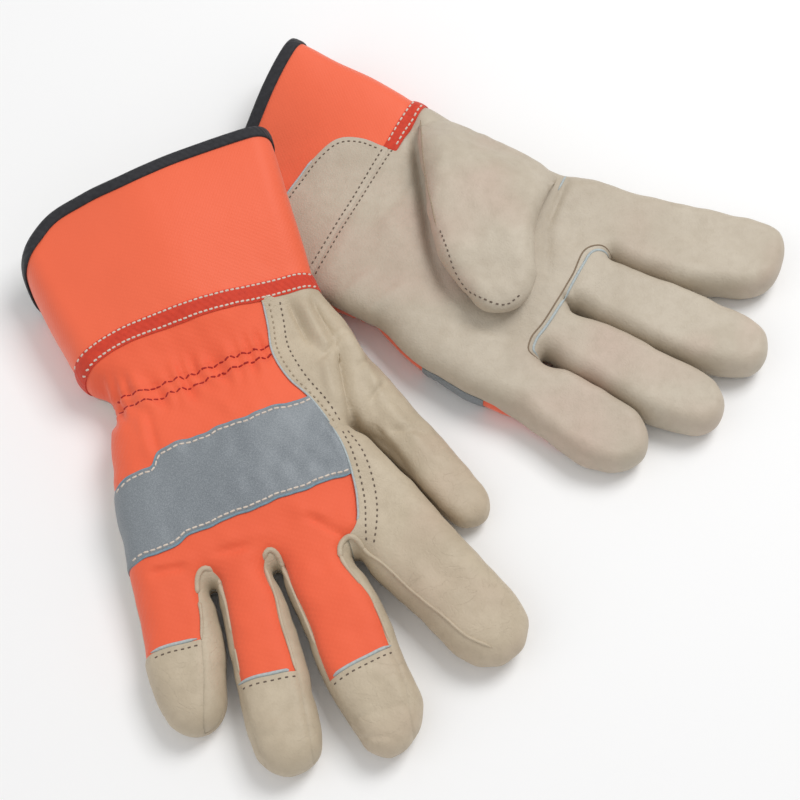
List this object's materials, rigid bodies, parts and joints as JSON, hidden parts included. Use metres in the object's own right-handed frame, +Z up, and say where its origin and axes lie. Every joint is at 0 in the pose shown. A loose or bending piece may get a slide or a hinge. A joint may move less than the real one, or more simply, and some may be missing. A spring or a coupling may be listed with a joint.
{
  "type": "work gloves",
  "caption": "Leather-palmed work gloves with bright fabric backs, reflective tape and wide safety cuffs, laid crossed at the cuffs.",
  "frame": {"origin": "on the resting surface, under the middle of the pair's bounding box", "axes": "+Z up from the surface the gloves lie on; +X towards the left-hand glove's fingertips; +Y away from the right-hand glove's fingertips, towards the cuffs"},
  "size_m": [0.3226, 0.3205, 0.046],
  "materials": {
    "leather": "matte grain leather",
    "orange_fabric": "rubberised twill",
    "reflective_tape": "retroreflective, satin",
    "binding": "woven tape, matte",
    "seam_tape": "woven tape, matte",
    "lining": "soft cotton, matte",
    "elastic": "matte"
  },
  "bodies": {
    "right_hand": {"right_cuff_back": "orange_fabric", "right_cuff_palm": "orange_fabric", "right_cuff_binding": "binding", "right_cuff_lining": "lining", "right_seam_tape": "seam_tape", "right_wrist_patch": "leather", "right_wrist_elastic": "elastic", "right_back_panel": "orange_fabric", "right_reflective_tape": "reflective_tape", "right_index_panel": "leather", "right_palm_leather": "leather", "right_palm_lining": "lining", "right_thumb_base": "leather"},
    "right_index": {"right_index_front": "leather", "right_index_back": "leather"},
    "right_middle": {"right_middle_front": "leather", "right_middle_back": "orange_fabric", "right_middle_side_walls": "leather", "right_middle_tip_cap": "leather"},
    "right_ring": {"right_ring_front": "leather", "right_ring_back": "orange_fabric", "right_ring_side_walls": "leather", "right_ring_tip_cap": "leather"},
    "right_little": {"right_little_front": "leather", "right_little_back": "orange_fabric", "right_little_side_walls": "leather", "right_little_tip_cap": "leather"},
    "right_thumb": {"right_thumb_front": "leather", "right_thumb_back": "leather"},
    "left_hand": {"left_cuff_back": "orange_fabric", "left_cuff_palm": "orange_fabric", "left_cuff_binding": "binding", "left_cuff_lining": "lining", "left_seam_tape": "seam_tape", "left_wrist_patch": "leather", "left_wrist_elastic": "elastic", "left_back_panel": "orange_fabric", "left_reflective_tape": "reflective_tape", "left_index_panel": "leather", "left_palm_leather": "leather", "left_palm_lining": "lining"},
    "left_index": {"left_index_front": "leather", "left_index_back": "leather"},
    "left_middle": {"left_middle_front": "leather", "left_middle_back": "orange_fabric", "left_middle_side_walls": "leather", "left_middle_tip_cap": "leather"},
    "left_ring": {"left_ring_front": "leather", "left_ring_back": "orange_fabric", "left_ring_side_walls": "leather", "left_ring_tip_cap": "leather"},
    "left_little": {"left_little_front": "leather", "left_little_back": "orange_fabric", "left_little_side_walls": "leather", "left_little_tip_cap": "leather"},
    "left_thumb": {"left_thumb_front": "leather", "left_thumb_back": "leather"}
  },
  "joints": [
    {"name": "right_glove_lift", "type": "slide", "parent": "left_hand", "child": "right_hand", "axis": [0, 0, 1], "range_m": [0, 0.12]},
    {"name": "right_index_flex", "type": "hinge", "parent": "right_hand", "child": "right_index", "pos_m": [-0.00952, -0.05612, 0], "axis": [0.7373, 0.6756, 0], "range_deg": [0, 50]},
    {"name": "right_middle_flex", "type": "hinge", "parent": "right_hand", "child": "right_middle", "pos_m": [-0.03788, -0.06787, 0], "axis": [0.91, 0.4147, 0], "range_deg": [0, 50]},
    {"name": "right_ring_flex", "type": "hinge", "parent": "right_hand", "child": "right_ring", "pos_m": [-0.06384, -0.07862, 0], "axis": [0.9659, 0.2588, 0], "range_deg": [0, 50]},
    {"name": "right_little_flex", "type": "hinge", "parent": "right_hand", "child": "right_little", "pos_m": [-0.08851, -0.08884, 0], "axis": [0.9724, 0.2334, 0], "range_deg": [0, 50]},
    {"name": "left_index_flex", "type": "hinge", "parent": "left_hand", "child": "left_index", "pos_m": [0.09097, 0.06918, 0.021], "axis": [-0.2419, -0.9703, 0], "range_deg": [0, 50]},
    {"name": "left_middle_flex", "type": "hinge", "parent": "left_hand", "child": "left_middle", "pos_m": [0.0775, 0.04384, 0.021], "axis": [-0.4462, -0.8949, 0], "range_deg": [0, 50]},
    {"name": "left_ring_flex", "type": "hinge", "parent": "left_hand", "child": "left_ring", "pos_m": [0.06459, 0.01955, 0.021], "axis": [-0.515, -0.8572, 0], "range_deg": [0, 50]},
    {"name": "left_little_flex", "type": "hinge", "parent": "left_hand", "child": "left_little", "pos_m": [0.05182, -0.00446, 0.021], "axis": [-0.5592, -0.829, 0], "range_deg": [0, 50]},
    {"name": "right_thumb_flex", "type": "hinge", "parent": "right_hand", "child": "right_thumb", "pos_m": [-0.01057, -0.01282, 0], "axis": [0.7716, 0.6361, 0], "range_deg": [0, 45]},
    {"name": "left_thumb_open", "type": "hinge", "parent": "left_hand", "child": "left_thumb", "pos_m": [0.03957, 0.1067, 0.027], "axis": [-0.8829, 0.4695, 0], "range_deg": [0, 80]}
  ]
}
